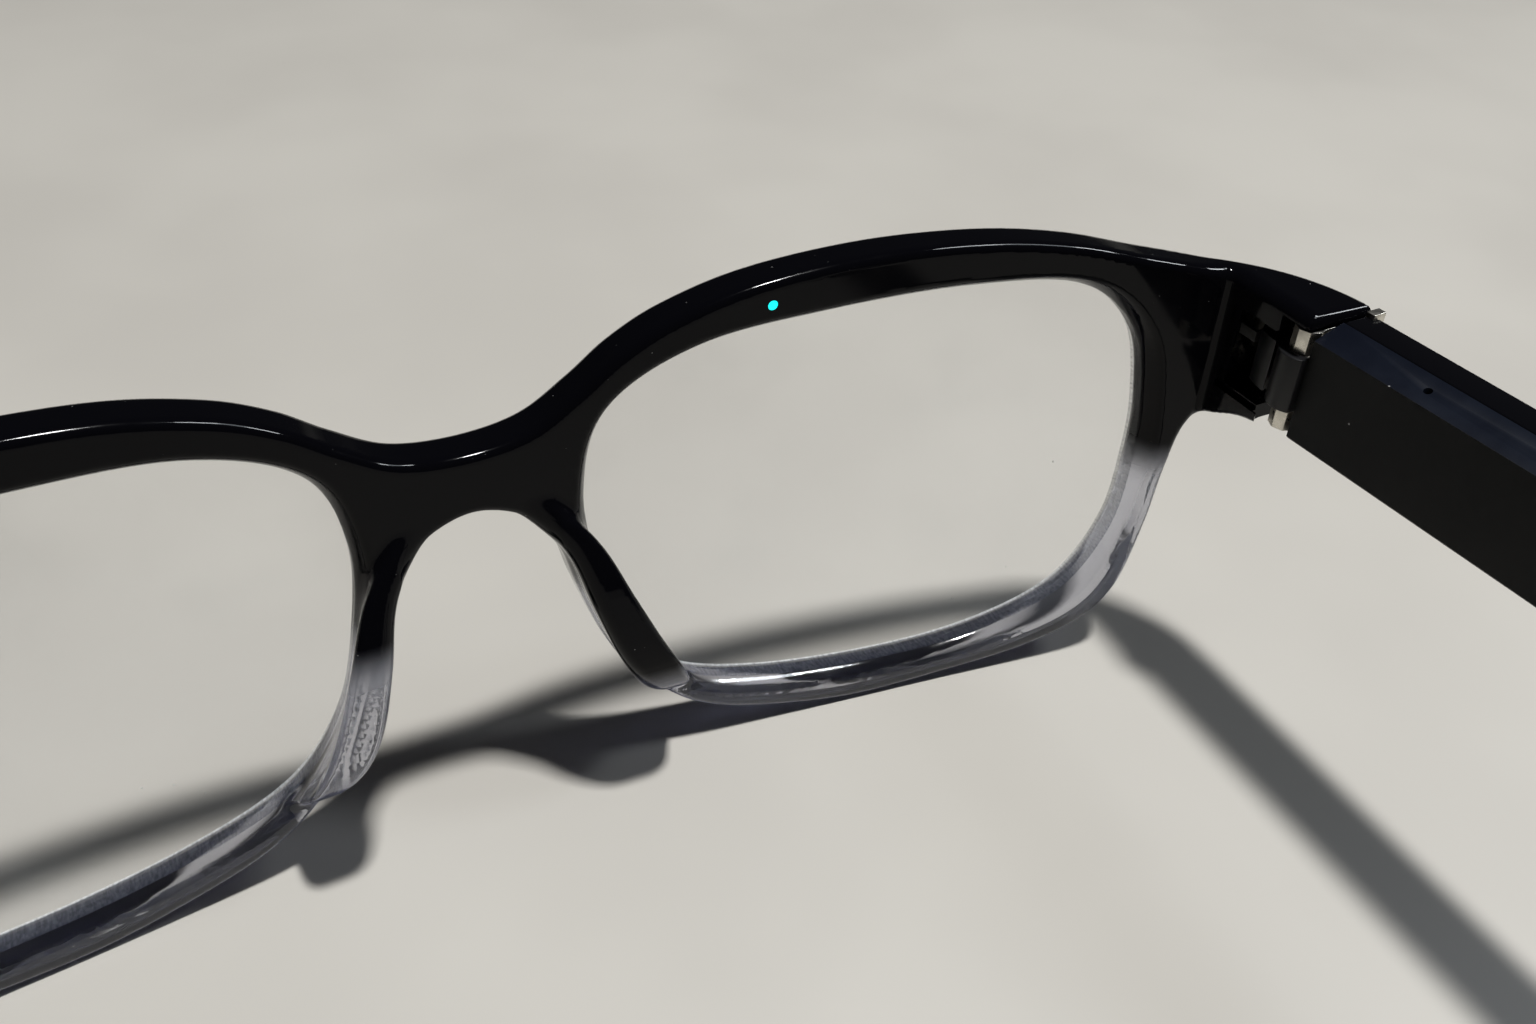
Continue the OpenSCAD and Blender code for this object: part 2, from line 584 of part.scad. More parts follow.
speaker(RIGHT, speaker_s[1]);  // speaker_rear_right
speaker_mesh(RIGHT);  // speaker_mesh_right
tip_core(RIGHT);  // tip_core_right
ear_tip(RIGHT);  // ear_tip_right
charging_contacts();
charging_magnets();
action_button();
volume_rocker();
rocker_pin();
switch_board();
temple_housing(LEFT);  // temple_housing_left
temple_cover(LEFT);  // temple_cover_left
temple_seal(LEFT);  // temple_seal_left
hinge_plate(LEFT);  // hinge_plate_left
hinge_knuckle(LEFT);  // hinge_knuckle_left
link_board();
battery_left();
microphone(LEFT);  // microphone_left
microphone_mesh(LEFT);  // microphone_mesh_left
speaker(LEFT, speaker_s[0]);  // speaker_front_left
speaker(LEFT, speaker_s[1]);  // speaker_rear_left
speaker_mesh(LEFT);  // speaker_mesh_left
tip_core(LEFT);  // tip_core_left
ear_tip(LEFT);  // ear_tip_left
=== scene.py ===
import json
import math

import bmesh
import bpy
import numpy as np
from mathutils import Matrix, Vector


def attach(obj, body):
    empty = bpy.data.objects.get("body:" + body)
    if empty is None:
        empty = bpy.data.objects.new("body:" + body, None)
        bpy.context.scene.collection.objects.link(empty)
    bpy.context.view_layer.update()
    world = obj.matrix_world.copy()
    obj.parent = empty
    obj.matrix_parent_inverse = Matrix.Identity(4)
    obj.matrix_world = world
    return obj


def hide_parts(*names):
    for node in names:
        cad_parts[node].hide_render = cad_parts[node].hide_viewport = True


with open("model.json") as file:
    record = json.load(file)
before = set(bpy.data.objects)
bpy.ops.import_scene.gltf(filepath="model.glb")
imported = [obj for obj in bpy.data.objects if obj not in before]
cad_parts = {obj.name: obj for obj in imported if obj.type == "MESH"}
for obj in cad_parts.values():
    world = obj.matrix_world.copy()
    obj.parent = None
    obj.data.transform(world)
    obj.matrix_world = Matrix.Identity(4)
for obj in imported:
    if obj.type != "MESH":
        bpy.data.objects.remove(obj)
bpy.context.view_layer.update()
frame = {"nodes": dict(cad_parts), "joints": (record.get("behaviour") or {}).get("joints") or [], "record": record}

MM = 0.001
RIGHT, LEFT = -1, 1

# ---------------------------------------------------------------- sizes, in millimetres
# The wearer's frame: X to the wearer's left, Y to the rear, Z up, origin between the
# lens centres on the rear face of the front.
BOW_R = 335.0
FRONT_T = 4.2
HALF_W = 74.0
CORNER_R = 15.5
END_Y = 16.15
END_IN_X = 66.5
LENS_X = 35.0
LENS_T = 2.0
LENS_SET = 1.6
GROOVE = 0.8
PIN = np.array([68.0, 15.05, 13.1])
TEMPLE_X, TEMPLE_Y = 67.0, 16.6
TEMPLE_Z0, TEMPLE_Z1 = 7.9, 18.6
TEMPLE_MID_Z = (TEMPLE_Z0 + TEMPLE_Z1) / 2
TEMPLE_T = 7.0
BAND_W, BAND_DROP = 3.0, 1.0
SPLAY = math.radians(2.2)
HOUSING_LEN = 88.0
BEND_R, BEND_ANGLE, TAIL_LEN = 24.0, math.radians(60), 36.0
TIP_END_R = 3.2
TIP_HALF_H, TIP_HALF_T, TIP_THINS = 5.35, 3.5, 1.1
TIP_BLEND_LEN = 16
TIP_POWER = 3.2
LIGHT_X, LIGHT_Z, LIGHT_R = -24.8, 22.3, 0.42
POCKET_OUT_X = 71.6
POCKET_END_Y = 18
LUG_R = 1.3
RELIEF_R = 2.4
LIP_Z = 18.4
SLOT_TOP = 18.1
NET_STEP, QUICK_NET_STEP = 0.34, 0.55

LOWER_HALF = [(0, 9), (3.4, 7.9), (5.7, 5.6), (7.2, 2.9), (8.4, -1.6), (10.2, -7),
              (12.6, -11.8), (15.4, -15.6), (19.3, -18.9), (25, -21.2), (34.5, -23),
              (45, -22.6), (53, -21.5), (58.9, -19.2), (62.3, -15.2), (64.1, -8),
              (65, -1), (66.2, 3.6), (69.5, 6.2), (75, 7.2)]
UPPER_HALF = [(75, 19.2), (68, 19.5), (64.5, 19.9), (59, 21.3), (52, 23.3), (44, 24.6),
              (34, 25), (24, 24.2), (17, 22.4), (12.5, 20.2), (9, 17.6), (5, 15.2),
              (0, 14.5)]
EYE_POINTS = [(26.9, -1), (26.6, 6), (24.5, 13.6), (18.5, 19), (8, 20.4), (-5, 20.2),
              (-16, 19.1), (-23.4, 15.2), (-25.6, 8), (-24.8, 0), (-22.4, -8.5),
              (-17.2, -15), (-8, -18.4), (4, -19.7), (14, -18.8), (22, -15.3),
              (26, -8.6)]
END_EDGE = [(-8, -4), (2, 0.5), (6.4, 3.8), (7.6, 5.2), (9.8, 6.6), (12.3, 7.5),
            (16.3, 7.95), (20, 8)]

# ---------------------------------------------------------------- placing
JOINTS = {joint["name"]: joint for joint in frame["joints"]}
HINGE = JOINTS["temple_fold_left"]
TILT = math.atan2(-HINGE["axis"][1], HINGE["axis"][2])
STAND = np.array(Matrix.Rotation(TILT, 3, "X"))
ORIGIN = np.array(HINGE["pos_m"]) - STAND @ PIN * MM


def stand(points):
    """Points of the wearer's frame, in millimetres, to the row frame in metres."""
    return np.asarray(points, float) @ STAND.T * MM + ORIGIN


def from_temple(points, side):
    """Points of a temple's own frame (thickness, length, height) to the wearer's frame."""
    p = np.asarray(points, float)
    x = TEMPLE_X + p[..., 0] * math.cos(SPLAY) + p[..., 1] * math.sin(SPLAY)
    y = TEMPLE_Y - p[..., 0] * math.sin(SPLAY) + p[..., 1] * math.cos(SPLAY)
    return np.stack([side * x, y, p[..., 2]], -1)


def piece(name, points, faces, body, material, smooth=True, replaces=(), flip=False):
    """A mesh object from points of the wearer's frame, riding on a CAD body."""
    mesh = bpy.data.meshes.new(name)
    loops = [tuple(reversed(f)) for f in faces] if flip else [tuple(f) for f in faces]
    mesh.from_pydata(stand(points).tolist(), [], loops)
    mesh.validate()
    obj = bpy.data.objects.new(name, mesh)
    bpy.context.scene.collection.objects.link(obj)
    mesh.materials.append(material)
    if smooth:
        mesh.shade_smooth()
    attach(obj, body)
    if replaces:
        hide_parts(*replaces)
    return obj


# ---------------------------------------------------------------- outlines and fields
def curve(points, steps, closed):
    """Points on a smooth curve through the given ones."""
    p = np.array(points, float)
    n = len(p)
    out = []
    for i in range(n if closed else n - 1):
        pick = (lambda k: p[k % n]) if closed else (lambda k: p[min(max(k, 0), n - 1)])
        a, b, c, d = (pick(i + k) for k in (-1, 0, 1, 2))
        for t in np.arange(steps) / steps:
            out.append(0.5 * (2 * b + (c - a) * t + (2 * a - 5 * b + 4 * c - d) * t ** 2
                              + (3 * b - a - 3 * c + d) * t ** 3))
    if not closed:
        out.append(p[-1])
    return np.array(out)


def mirrored(points):
    return np.asarray(points)[::-1] * [-1, 1]


class Outline:
    """Signed distance to a closed flat outline, negative inside, kept on a fine grid."""

    CELL = 0.2

    def __init__(self, loop, low, high):
        gaps = np.linalg.norm(np.roll(loop, -1, 0) - loop, axis=1)
        dense = [a + (b - a) * t for a, b, gap in zip(loop, np.roll(loop, -1, 0), gaps)
                 for t in np.arange(0, 1, min(1, 0.12 / max(gap, 0.12)))]
        dense = np.array(dense)
        ahead = np.roll(dense, -4, 0) - np.roll(dense, 4, 0)
        normal = np.stack([ahead[:, 1], -ahead[:, 0]], 1)
        normal /= np.linalg.norm(normal, axis=1)[:, None]
        self.low = np.array(low, float)
        self.shape = np.ceil((np.array(high) - low) / self.CELL).astype(int) + 1
        u, v = np.meshgrid(*(low[k] + self.CELL * np.arange(self.shape[k]) for k in (0, 1)),
                           indexing="ij")
        spots = np.stack([u.ravel(), v.ravel()], 1)
        values = np.empty(len(spots))
        for k in range(0, len(spots), 4000):
            part = spots[k:k + 4000]
            far = ((part ** 2).sum(1)[:, None] + (dense ** 2).sum(1)[None]
                   - 2 * part @ dense.T)
            near = far.argmin(1)
            values[k:k + 4000] = ((part - dense[near]) * normal[near]).sum(1)
        self.grid = values.reshape(self.shape)

    def at(self, u, v):
        """The distance at any point, by cubic interpolation."""
        u, v = np.broadcast_arrays(u, v)
        spot = (np.stack([u, v], -1) - self.low) / self.CELL
        base = np.clip(np.floor(spot).astype(int), 1, self.shape - 3)
        t = np.clip(spot - base, 0, 1)
        weights = np.stack([-t + 2 * t ** 2 - t ** 3, 2 - 5 * t ** 2 + 3 * t ** 3,
                            t + 4 * t ** 2 - 3 * t ** 3, t ** 3 - t ** 2]) / 2
        total = 0.0
        for i in range(4):
            for j in range(4):
                total = total + (weights[i, ..., 0] * weights[j, ..., 1]
                                 * self.grid[base[..., 0] + i - 1, base[..., 1] + j - 1])
        return total


def both(a, b, r):
    """Intersection of two fields, with its outer edge rounded to radius r."""
    edge = np.hypot(np.maximum(a + r, 0), np.maximum(b + r, 0))
    return np.minimum(np.maximum(a, b), -r) + edge


def either(a, b, r):
    """Union of two fields, with its inner corner filled to radius r."""
    return -both(-a, -b, r)


def net(field, low, high, step, relax=3):
    """Quads on the zero surface of a field, drawn onto it exactly and evened out."""
    axes = [np.arange(low[k], high[k] + step, step) for k in range(3)]
    f = field(axes[0][:, None, None], axes[1][None, :, None], axes[2][None, None, :])
    inside = f < 0
    size = np.array(f.shape) - 1
    total, count = np.zeros((*size, 3)), np.zeros(size)
    for k in range(3):
        others = [m for m in range(3) if m != k]
        a = [slice(None)] * 3
        b = [slice(None)] * 3
        a[k], b[k] = slice(0, -1), slice(1, None)
        fa, fb = f[tuple(a)], f[tuple(b)]
        cross = inside[tuple(a)] != inside[tuple(b)]
        t = np.where(cross, fa / np.where(cross, fa - fb, 1), 0)
        for i in (0, 1):
            for j in (0, 1):
                cut = [slice(None)] * 3
                cut[others[0]] = slice(i, i + size[others[0]])
                cut[others[1]] = slice(j, j + size[others[1]])
                hit = cross[tuple(cut)]
                place = np.zeros(3)
                place[others[0]], place[others[1]] = i, j
                total += hit[..., None] * place
                total[..., k] += hit * t[tuple(cut)]
                count += hit
    live = count > 0
    number = np.full(size, -1)
    number[live] = np.arange(live.sum())
    cells = np.argwhere(live)
    points = (cells + total[live] / count[live][:, None]) * step + np.array(low)
    quads = []
    for k in range(3):
        i, j = (k + 1) % 3, (k + 2) % 3
        a = [slice(None)] * 3
        b = [slice(None)] * 3
        a[k], b[k] = slice(0, -1), slice(1, None)
        ia, ib = inside[tuple(a)], inside[tuple(b)]
        spots = np.argwhere(ia != ib)
        spots = spots[(spots[:, i] > 0) & (spots[:, j] > 0)
                      & (spots[:, i] < size[i]) & (spots[:, j] < size[j])]
        ring = []
        for di, dj in ((1, 1), (0, 1), (0, 0), (1, 0)):
            c = spots.copy()
            c[:, i] -= di
            c[:, j] -= dj
            ring.append(number[tuple(c.T)])
        ring = np.stack(ring, 1)
        turn = ~ia[tuple(spots.T)]
        ring[turn] = ring[turn][:, ::-1]
        quads.append(ring)
    quads = np.concatenate(quads)

    def gradient(p):
        h = 0.02
        return np.stack([(field(*(p + h * e).T) - field(*(p - h * e).T)) / (2 * h)
                         for e in np.eye(3)], 1)

    def settle(p, times):
        for _ in range(times):
            g = gradient(p)
            move = field(*p.T)[:, None] * g / np.maximum((g ** 2).sum(1), 0.2)[:, None]
            p = p - np.clip(move, -step / 2, step / 2)
        return p

    points = settle(points, 3)
    ends = np.concatenate([quads[:, [k, (k + 1) % 4]] for k in range(4)])
    ends = np.concatenate([ends, ends[:, ::-1]])
    share = np.bincount(ends[:, 0], minlength=len(points))[:, None]
    for _ in range(relax):
        mean = np.stack([np.bincount(ends[:, 0], points[ends[:, 1], k], len(points))
                         for k in range(3)], 1) / np.maximum(share, 1)
        g = gradient(points)
        g /= np.maximum(np.linalg.norm(g, axis=1), 1e-6)[:, None]
        move = mean - points
        points = points + 0.6 * (move - (move * g).sum(1)[:, None] * g)
        points = settle(points, 1)
    return settle(points, 2), quads


# ---------------------------------------------------------------- material nodes
def node(tree, kind, inputs=None, **settings):
    """A shader node; inputs are values or sockets to link."""
    made = tree.nodes.new(kind)
    for key, value in settings.items():
        setattr(made, key, value)
    for key, value in (inputs or {}).items():
        socket = made.inputs[key]
        if isinstance(value, bpy.types.NodeSocket):
            tree.links.new(value, socket)
        else:
            socket.default_value = value
    return made


def shader(name, **values):
    """A material with one Principled shader, its node tree and that shader."""
    made = bpy.data.materials.new(name)
    made.use_nodes = True
    tree = made.node_tree
    bsdf = tree.nodes["Principled BSDF"]
    for key, value in values.items():
        socket = bsdf.inputs[key.replace("_", " ")]
        if isinstance(value, (tuple, list)):
            value = tuple(value) + (1,) if len(value) == 3 else value
        socket.default_value = value
    return made, tree, bsdf


def place(tree):
    return node(tree, "ShaderNodeTexCoord").outputs["Object"]


def math_node(tree, operation, *values):
    made = node(tree, "ShaderNodeMath", operation=operation)
    for socket, value in zip(made.inputs, values):
        if isinstance(value, bpy.types.NodeSocket):
            tree.links.new(value, socket)
        else:
            socket.default_value = value
    return made.outputs[0]


def spread(tree, value, low, high, to_low=0.0, to_high=1.0, smooth=True):
    made = node(tree, "ShaderNodeMapRange",
                {"Value": value, "From Min": low, "From Max": high, "To Min": to_low,
                 "To Max": to_high},
                interpolation_type="SMOOTHSTEP" if smooth else "LINEAR")
    return made.outputs["Result"]


def mix(tree, factor, a, b):
    made = node(tree, "ShaderNodeMix", data_type="RGBA")
    for socket, value in ((made.inputs[0], factor), (made.inputs[6], a), (made.inputs[7], b)):
        if isinstance(value, bpy.types.NodeSocket):
            tree.links.new(value, socket)
        elif isinstance(value, tuple):
            socket.default_value = (*value, 1)
        else:
            socket.default_value = value
    return made.outputs[2]


def noise(tree, scale_mm, detail=3.0, stretch=(1, 1, 1)):
    """Noise whose lumps are about scale_mm across."""
    size = 1 / (scale_mm * MM)
    where = node(tree, "ShaderNodeMapping", {"Vector": place(tree),
                                             "Scale": tuple(size * s for s in stretch)})
    return node(tree, "ShaderNodeTexNoise", {"Vector": where.outputs[0], "Scale": 1.0,
                                             "Detail": detail}).outputs["Fac"]


def specks(tree, spacing_mm, size, share):
    """Small scattered dots: 1 on a dot, 0 elsewhere."""
    cells = node(tree, "ShaderNodeTexVoronoi",
                 {"Vector": place(tree), "Scale": 1 / (spacing_mm * MM)})
    parts = node(tree, "ShaderNodeSeparateColor", {"Color": cells.outputs["Color"]})
    chosen = math_node(tree, "GREATER_THAN", parts.outputs[0], 1 - share)
    radius = math_node(tree, "MULTIPLY", parts.outputs[1], size)
    dot = math_node(tree, "LESS_THAN", cells.outputs["Distance"], radius)
    return math_node(tree, "MULTIPLY", chosen, dot)


def bump(tree, bsdf, height, depth_mm, strength=1.0):
    made = node(tree, "ShaderNodeBump", {"Height": height, "Distance": depth_mm * MM,
                                         "Strength": strength})
    tree.links.new(made.outputs[0], bsdf.inputs["Normal"])
    return made


def own_z(tree):
    """Height in the wearer's frame above the lens centre, in metres."""
    up = STAND @ np.array([0, 0, 1.0])
    dot = node(tree, "ShaderNodeVectorMath", operation="DOT_PRODUCT")
    tree.links.new(place(tree), dot.inputs[0])
    dot.inputs[1].default_value = tuple(up)
    return math_node(tree, "SUBTRACT", dot.outputs["Value"], float(up @ ORIGIN))


def underside(tree):
    """1 where a surface looks down in the wearer's frame, 0 where it looks back or up; the mask for the painted
    shade on the clear rims' undersides.
    """
    facing = node(tree, "ShaderNodeVectorMath", operation="DOT_PRODUCT")
    tree.links.new(node(tree, "ShaderNodeTexCoord").outputs["Normal"], facing.inputs[0])
    facing.inputs[1].default_value = tuple(STAND @ np.array([0, 0, -1.0]))
    return spread(tree, facing.outputs["Value"], 0.08, 0.55)


DUST = (0.30, 0.30, 0.29)
REAR_FACE_Y = float(stand(np.array([0.0, 0.0, -8.0]))[1])
# Heights in metres: where the black ends and the clear begins, and how much lower the
# right nose pad stays dark
BLACK_ENDS, CLEAR_BEGINS = 0.0028, -0.0024
PAD_STAYS_DARK = 0.0095
# Share of the transmission taken away on the underside of the clear part: painted shade that makes downward-facing
# surfaces dark and nearly opaque
UNDERSIDE_SHADE = 0.6


def frame_plastic():
    """Polished black that clears to smoky transparent in the lower rims, with painted shade that darkens and
    clouds the surfaces that look down.
    """
    made, tree, bsdf = shader("frame_plastic", Roughness=0.06, IOR=1.47,
                              Specular_IOR_Level=0.13)
    height = own_z(tree)
    wander = math_node(tree, "MULTIPLY", noise(tree, 9, 1), 0.002)
    level = math_node(tree, "ADD", height, wander)
    where = node(tree, "ShaderNodeSeparateXYZ", {"Vector": place(tree)})
    near_nose = spread(tree, where.outputs[0], -0.024, -0.020)
    right_pad = math_node(tree, "MULTIPLY", spread(tree, where.outputs[0], 0.003, -0.003),
                          near_nose)
    on_pad = math_node(tree, "MULTIPLY", right_pad,
                       spread(tree, where.outputs[1], REAR_FACE_Y + 0.0004,
                              REAR_FACE_Y + 0.0016))
    level = math_node(tree, "ADD", level, math_node(tree, "MULTIPLY", on_pad,
                                                      PAD_STAYS_DARK))
    clear = spread(tree, level, BLACK_ENDS, CLEAR_BEGINS)
    under = underside(tree)
    # Painted shade: the smoky clear tint turns dark navy where the surface looks down
    smoke_and_painted_shade = mix(tree, under, (0.60, 0.61, 0.68), (0.14, 0.15, 0.24))
    body = mix(tree, clear, (0.002, 0.002, 0.003), smoke_and_painted_shade)
    dust = math_node(tree, "MULTIPLY", specks(tree, 0.45, 0.11, 0.22),
                     spread(tree, noise(tree, 9, 1), 0.5, 0.6))
    dusty_with_painted_shade = mix(tree, dust, body, DUST)
    tree.links.new(dusty_with_painted_shade, bsdf.inputs["Base Color"])
    passing = math_node(tree, "MULTIPLY", clear, math_node(tree, "SUBTRACT", 1.0, dust))
    # Painted shade: downward-facing surfaces also let less light through, so they read dark
    shaded = math_node(tree, "SUBTRACT", 1.0, math_node(tree, "MULTIPLY", under, UNDERSIDE_SHADE))
    tree.links.new(math_node(tree, "MULTIPLY", passing, shaded),
                   bsdf.inputs["Transmission Weight"])
    smear = spread(tree, noise(tree, 5, 4), 0.35, 0.75, 0.045, 0.13)
    rough = math_node(tree, "MAXIMUM", smear, math_node(tree, "MULTIPLY", dust, 0.6))
    tree.links.new(rough, bsdf.inputs["Roughness"])
    scratch = noise(tree, 0.9, 2, (0.08, 1, 1))
    bump(tree, bsdf, scratch, 0.0015, 0.3)
    return made


def black_gloss(name):
    """Polished black moulding with faint smears and dust."""
    made, tree, bsdf = shader(name, Roughness=0.08, Specular_IOR_Level=0.18)
    dust = math_node(tree, "MULTIPLY", specks(tree, 1.3, 0.12, 0.10),
                     spread(tree, noise(tree, 12, 1), 0.5, 0.62))
    tree.links.new(mix(tree, dust, (0.003, 0.003, 0.004), DUST), bsdf.inputs["Base Color"])
    smear = spread(tree, noise(tree, 6, 4), 0.35, 0.75, 0.06, 0.17)
    tree.links.new(math_node(tree, "MAXIMUM", smear, math_node(tree, "MULTIPLY", dust, 0.6)),
                   bsdf.inputs["Roughness"])
    bump(tree, bsdf, noise(tree, 1.2, 2, (1, 0.1, 1)), 0.004, 0.35)
    return made


def satin(name, tone, rough, grain_mm=0.12, depth_mm=0.008):
    """Moulded plastic with a fine spark-eroded grain."""
    made, tree, bsdf = shader(name, Roughness=rough, Specular_IOR_Level=0.3)
    patch = noise(tree, 7, 3)
    worn = spread(tree, patch, 0.35, 0.7)
    lighter = tuple(min(1, c * 1.35 + 0.003) for c in tone)
    tree.links.new(mix(tree, worn, tone, lighter), bsdf.inputs["Base Color"])
    tree.links.new(spread(tree, patch, 0.3, 0.7, rough - 0.05, rough + 0.07),
                   bsdf.inputs["Roughness"])
    bump(tree, bsdf, noise(tree, grain_mm, 2), depth_mm, 0.8)
    return made


def cover_plastic():
    """Charcoal inner cover with a smoother satin bevel along its top, tinted blue-grey there as a painted sky
    reflection.
    """
    made, tree, bsdf = shader("cover_plastic", Roughness=0.5, Specular_IOR_Level=0.14)
    top = spread(tree, own_z(tree), (TEMPLE_Z1 - BAND_DROP - 0.02) * MM,
                 (TEMPLE_Z1 - BAND_DROP + 0.03) * MM)
    patch = noise(tree, 6, 3)
    wall = mix(tree, spread(tree, patch, 0.35, 0.7), (0.0045, 0.0048, 0.0052),
               (0.0065, 0.007, 0.0075))
    # Painted reflection: the top bevel is bluer and a little lighter than the wall, standing in for sky seen at a
    # glancing angle
    band_with_painted_reflection = mix(tree, spread(tree, patch, 0.35, 0.7), (0.0045, 0.006, 0.0115),
               (0.007, 0.0095, 0.017))
    dust = specks(tree, 1.6, 0.1, 0.12)
    tree.links.new(mix(tree, dust, mix(tree, top, wall, band_with_painted_reflection), (0.3, 0.3, 0.3)),
                   bsdf.inputs["Base Color"])
    rough = math_node(tree, "ADD", spread(tree, top, 0, 1, 0.5, 0.36),
                      spread(tree, patch, 0.3, 0.7, -0.03, 0.06))
    tree.links.new(rough, bsdf.inputs["Roughness"])
    bump(tree, bsdf, noise(tree, 0.1, 2), 0.008, 0.8)
    return made


def metal(name, tone, rough, stretch=(1, 1, 1), grain_mm=0.5):
    """Plated or ground metal with faint brushing and tarnish."""
    made, tree, bsdf = shader(name, Metallic=1.0, Roughness=rough)
    patch = noise(tree, 1.5, 3)
    dull = tuple(c * 0.72 for c in tone)
    tree.links.new(mix(tree, spread(tree, patch, 0.3, 0.75), tone, dull),
                   bsdf.inputs["Base Color"])
    tree.links.new(spread(tree, patch, 0.3, 0.7, rough - 0.06, rough + 0.1),
                   bsdf.inputs["Roughness"])
    bump(tree, bsdf, noise(tree, grain_mm, 3, stretch), 0.004, 0.6)
    return made


def lens_coating():
    """Very clear coated lens with a few dust specks and faint smears."""
    made, tree, bsdf = shader("lens_coating", Base_Color=(0.8, 0.84, 0.86), Roughness=0.03,
                              IOR=1.5)
    dust = math_node(tree, "MULTIPLY", specks(tree, 2.2, 0.05, 0.25),
                     spread(tree, noise(tree, 20, 1), 0.45, 0.6))
    smear = spread(tree, noise(tree, 11, 4), 0.5, 0.8, 0.05, 0.09)
    tree.links.new(math_node(tree, "MAXIMUM", smear, math_node(tree, "MULTIPLY", dust, 0.7)),
                   bsdf.inputs["Alpha"])
    return made


def lens_edge():
    """Ground edge of a lens, seen through the clear part of the rim."""
    made, tree, bsdf = shader("lens_edge", Roughness=0.5)
    ground = noise(tree, 0.25, 3, (1, 0.2, 1))
    tree.links.new(mix(tree, ground, (0.62, 0.64, 0.66), (0.85, 0.87, 0.88)),
                   bsdf.inputs["Base Color"])
    tree.links.new(spread(tree, ground, 0.2, 0.8, 0.35, 0.7), bsdf.inputs["Alpha"])
    bump(tree, bsdf, ground, 0.02)
    return made


def glow():
    """Lit cyan end of the light guide."""
    made, tree, bsdf = shader("light_glow", Base_Color=(0.0, 0.5, 0.52), Roughness=0.3,
                              Emission_Color=(0.0, 0.93, 0.9))
    cells = noise(tree, 0.3, 1)
    tree.links.new(spread(tree, cells, 0.2, 0.8, 1.1, 1.5), bsdf.inputs["Emission Strength"])
    return made


def circuit():
    """Solder mask over copper tracks."""
    made, tree, bsdf = shader("circuit", Roughness=0.35, Coat_Weight=0.2)
    where = node(tree, "ShaderNodeMapping", {"Vector": place(tree), "Scale": (900, 900, 900)})
    tracks = node(tree, "ShaderNodeTexBrick", {"Vector": where.outputs[0], "Scale": 1.0,
                                               "Mortar Size": 0.06})
    tree.links.new(mix(tree, tracks.outputs["Fac"], (0.008, 0.07, 0.035), (0.03, 0.16, 0.08)),
                   bsdf.inputs["Base Color"])
    bump(tree, bsdf, tracks.outputs["Fac"], 0.02)
    return made


def woven(name, tone):
    """Fine wire mesh."""
    made, tree, bsdf = shader(name, Metallic=0.8, Roughness=0.45)
    where = node(tree, "ShaderNodeMapping", {"Vector": place(tree),
                                             "Scale": (9000, 9000, 9000)})
    check = node(tree, "ShaderNodeTexChecker", {"Vector": where.outputs[0], "Scale": 1.0})
    tree.links.new(mix(tree, check.outputs["Fac"], tone, tuple(c * 0.2 for c in tone)),
                   bsdf.inputs["Base Color"])
    bump(tree, bsdf, check.outputs["Fac"], 0.03)
    return made


def foil(name, tone):
    """Wrapped battery foil with soft wrinkles."""
    made, tree, bsdf = shader(name, Metallic=1.0, Roughness=0.35)
    wrinkle = noise(tree, 2.5, 4)
    tree.links.new(mix(tree, wrinkle, tone, tuple(c * 0.75 for c in tone)),
                   bsdf.inputs["Base Color"])
    bump(tree, bsdf, wrinkle, 0.15, 0.6)
    return made


FRAME_PLASTIC = frame_plastic()
LENS_EDGE = lens_edge()
TIP_SATIN = satin("tip_moulding", (0.009, 0.009, 0.011), 0.27, 0.15, 0.006)
LOOKS = {
    "frame_gloss": FRAME_PLASTIC,
    "lens_clear": lens_coating(),
    "light_pipe": glow(),
    "led_white": satin("led_package", (0.75, 0.75, 0.7), 0.4),
    "flex_black": satin("flex_cover_film", (0.006, 0.006, 0.006), 0.45),
    "copper_flex": metal("flex_copper", (0.62, 0.36, 0.16), 0.35, (1, 6, 1)),
    "nickel": metal("nickel_plate", (0.66, 0.63, 0.56), 0.3),
    "steel": metal("ground_steel", (0.62, 0.62, 0.64), 0.25, (1, 1, 8)),
    "hinge_black": satin("hinge_moulding", (0.006, 0.006, 0.007), 0.35),
    "housing_gloss": black_gloss("housing_gloss_black"),
    "cover_charcoal": cover_plastic(),
    "seal_rubber": satin("seal_black", (0.004, 0.004, 0.004), 0.7),
    "circuit_green": circuit(),
    "battery_foil": foil("battery_wrap", (0.6, 0.6, 0.62)),
    "mesh_dark": woven("wire_mesh", (0.12, 0.12, 0.13)),
    "microphone_can": metal("plated_can", (0.75, 0.6, 0.33), 0.3),
    "speaker_black": satin("speaker_frame", (0.03, 0.03, 0.033), 0.45),
    "tip_satin": TIP_SATIN,
    "gold_contact": metal("gold_plate", (0.83, 0.62, 0.27), 0.22),
    "magnet_nickel": metal("magnet_plate", (0.6, 0.6, 0.62), 0.2),
    "button_black": satin("button_moulding", (0.012, 0.012, 0.014), 0.4),
}

# ---------------------------------------------------------------- carried-over CAD nodes
SLOTS = {s["node"]: s["material_slot"] for s in frame["record"]["subparts"]}
EDGE_MM = {"temple_housing": 0.3, "temple_cover": 0.18, "hinge_bracket": 0.09,
           "hinge_plate": 0.08, "battery": 0.5, "action_button": 0.25,
           "volume_rocker": 0.25, "hinge_shroud": 0.12, "hinge_knuckle": 0.1}


